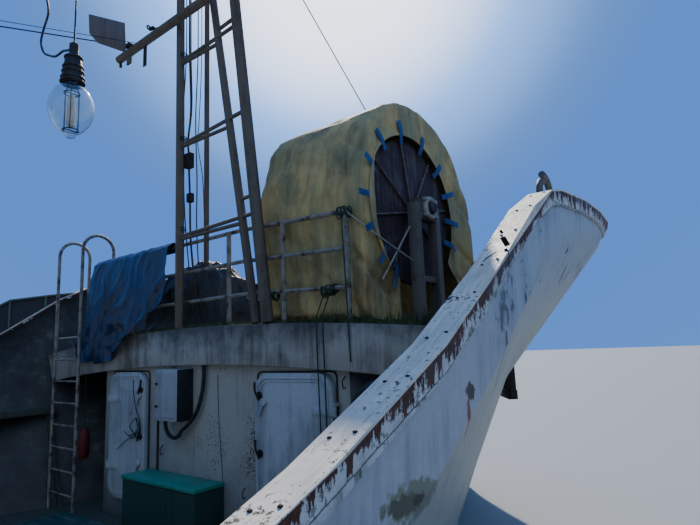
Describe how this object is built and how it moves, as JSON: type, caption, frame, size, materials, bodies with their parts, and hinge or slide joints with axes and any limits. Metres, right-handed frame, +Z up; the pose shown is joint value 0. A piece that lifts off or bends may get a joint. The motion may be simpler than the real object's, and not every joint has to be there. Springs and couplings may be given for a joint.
{
  "type": "fishing trawler",
  "caption": "Steel fishing trawler with a raised forecastle, lattice mast, covered net reel, well deck, aft deckhouse and wheelhouse, hull down to the keel",
  "frame": {"origin": "amidships on the centreline at the water surface", "axes": "+X towards the bow, +Y to port, +Z up"},
  "size_m": [24.75, 7.95, 12.5],
  "materials": {
    "hull_paint": "dull antifouling and topside paint, fouled",
    "white_paint": "peeling white paint with rust",
    "cap_paint": "cream paint worn through in patches",
    "deck_paint": "dull dark deck paint with grit and rust",
    "green_wood": "worn green paint on planks",
    "sea_green_paint": "worn bright paint",
    "frame_green_paint": "worn pale green paint",
    "grey_pipe": "peeling grey paint over rust",
    "ochre_paint": "weathered buff paint over rust",
    "reel_timber": "weathered dark timber and ply",
    "reel_stand_paint": "weathered paint, rusty",
    "box_paint": "dull off-white",
    "dark_steel": "dark oiled steel with rust",
    "wire_rope": "galvanised wire, greased",
    "grey_board": "weathered blank board",
    "black_rubber": "dull black",
    "vent_black": "dull black paint",
    "yellow_tarpaulin": "coated cloth, creased and stained",
    "blue_tarpaulin": "woven plastic sheet, creased",
    "dark_tarpaulin": "dark heavy sheet in folds",
    "lamp_glass": "clear blown glass",
    "bronze": "bronze, dull and fouled",
    "radar_white": "satin"
  },
  "bodies": {
    "boat": {"hull": "hull_paint", "side_plating_starboard": "white_paint", "side_plating_port": "white_paint", "transom_bulwark": "white_paint", "gunwale_stern": "cap_paint", "gunwale_starboard": "cap_paint", "gunwale_port": "cap_paint", "forecastle_deck": "deck_paint", "deck_fascia": "white_paint", "house_aft_wall": "white_paint", "house_shell": "white_paint", "switch_box": "box_paint", "wall_hose": "black_rubber", "vent_pipe": "vent_black", "locker": "sea_green_paint", "deck_boards": "green_wood", "fish_shelf": "frame_green_paint", "forecastle_railing": "grey_pipe", "hoop_ladder": "grey_pipe", "mast": "ochre_paint", "topmast": "ochre_paint", "yard": "ochre_paint", "reel_stand": "reel_stand_paint", "reel_cover": "yellow_tarpaulin", "blue_tarpaulin": "blue_tarpaulin", "tarpaulin_heap": "dark_tarpaulin", "windlass_frame": "dark_steel", "anchor_port": "dark_steel", "anchor_starboard": "dark_steel", "hatch_coaming": "frame_green_paint", "deckhouse": "white_paint", "boat_deck": "deck_paint", "boat_deck_railing": "grey_pipe", "wheelhouse": "white_paint", "wheelhouse_roof": "cap_paint", "funnel": "ochre_paint", "radar_post": "grey_pipe", "winch_frame": "dark_steel", "stern_gallows": "ochre_paint", "main_stays": "wire_rope", "lamp_boom": "grey_pipe", "lamp_socket": "black_rubber", "lamp_bulb": "lamp_glass", "mast_wires": "wire_rope", "hanging_board": "grey_board", "lamp_cable": "black_rubber"},
    "propeller_body": {"propeller": "bronze"},
    "rudder_body": {"rudder": "hull_paint"},
    "reel_body": {"net_reel": "reel_timber"},
    "windlass_body": {"windlass_drum": "dark_steel"},
    "winch_port_body": {"winch_drum_port": "ochre_paint"},
    "winch_starboard_body": {"winch_drum_starboard": "ochre_paint"},
    "scanner_body": {"radar_scanner": "radar_white"},
    "house_door_port_body": {"house_door_port": "white_paint"},
    "house_door_starboard_body": {"house_door_starboard": "white_paint"},
    "locker_lid_body": {"locker_lid": "sea_green_paint"},
    "hatch_lid_body": {"hatch_lid": "frame_green_paint"},
    "deckhouse_door_body": {"deckhouse_door": "white_paint"},
    "wheelhouse_door_port_body": {"wheelhouse_door_port": "white_paint"},
    "wheelhouse_door_starboard_body": {"wheelhouse_door_starboard": "white_paint"}
  },
  "joints": [
    {"name": "propeller_spin", "type": "hinge", "parent": "boat", "child": "propeller_body", "pos_m": [-9.95, 0, -1.6], "axis": [1, 0, 0], "continuous": true},
    {"name": "rudder_turn", "type": "hinge", "parent": "boat", "child": "rudder_body", "pos_m": [-10.95, 0, -1.5], "axis": [0, 0, 1], "range_deg": [-35, 35]},
    {"name": "reel_spin", "type": "hinge", "parent": "boat", "child": "reel_body", "pos_m": [6.4, -1.85, 4.01], "axis": [0, 1, 0], "continuous": true},
    {"name": "windlass_spin", "type": "hinge", "parent": "boat", "child": "windlass_body", "pos_m": [9.75, 0, 3.41], "axis": [0, 1, 0], "continuous": true},
    {"name": "winch_port_spin", "type": "hinge", "parent": "boat", "child": "winch_port_body", "pos_m": [-8, 0.6, 1.42], "axis": [0, 1, 0], "continuous": true},
    {"name": "winch_starboard_spin", "type": "hinge", "parent": "boat", "child": "winch_starboard_body", "pos_m": [-8, -0.6, 1.42], "axis": [0, 1, 0], "continuous": true},
    {"name": "scanner_spin", "type": "hinge", "parent": "boat", "child": "scanner_body", "pos_m": [-1.5, 0, 6.4], "axis": [0, 0, 1], "continuous": true},
    {"name": "house_door_port_hinge", "type": "hinge", "parent": "boat", "child": "house_door_port_body", "pos_m": [5.436, 1.806, 1.68], "axis": [0, 0, 1], "range_deg": [-95, 0]},
    {"name": "house_door_starboard_hinge", "type": "hinge", "parent": "boat", "child": "house_door_starboard_body", "pos_m": [5.436, -2.126, 1.67], "axis": [0, 0, 1], "range_deg": [0, 110]},
    {"name": "locker_lid_hinge", "type": "hinge", "parent": "boat", "child": "locker_lid_body", "pos_m": [5.486, 0.165, 1.32], "axis": [0, 1, 0], "range_deg": [0, 80]},
    {"name": "hatch_lid_hinge", "type": "hinge", "parent": "boat", "child": "hatch_lid_body", "pos_m": [1.66, 0, 1.15], "axis": [0, -1, 0], "range_deg": [0, 100]},
    {"name": "deckhouse_door_hinge", "type": "hinge", "parent": "boat", "child": "deckhouse_door_body", "pos_m": [-6.564, -1.326, 1.68], "axis": [0, 0, 1], "range_deg": [0, 110]},
    {"name": "wheelhouse_door_port_hinge", "type": "hinge", "parent": "boat", "child": "wheelhouse_door_port_body", "pos_m": [-1.594, 1.803, 3.78], "axis": [0, 0, 1], "range_deg": [-100, 0]},
    {"name": "wheelhouse_door_starboard_hinge", "type": "hinge", "parent": "boat", "child": "wheelhouse_door_starboard_body", "pos_m": [-1.594, -1.803, 3.78], "axis": [0, 0, 1], "range_deg": [0, 100]}
  ]
}
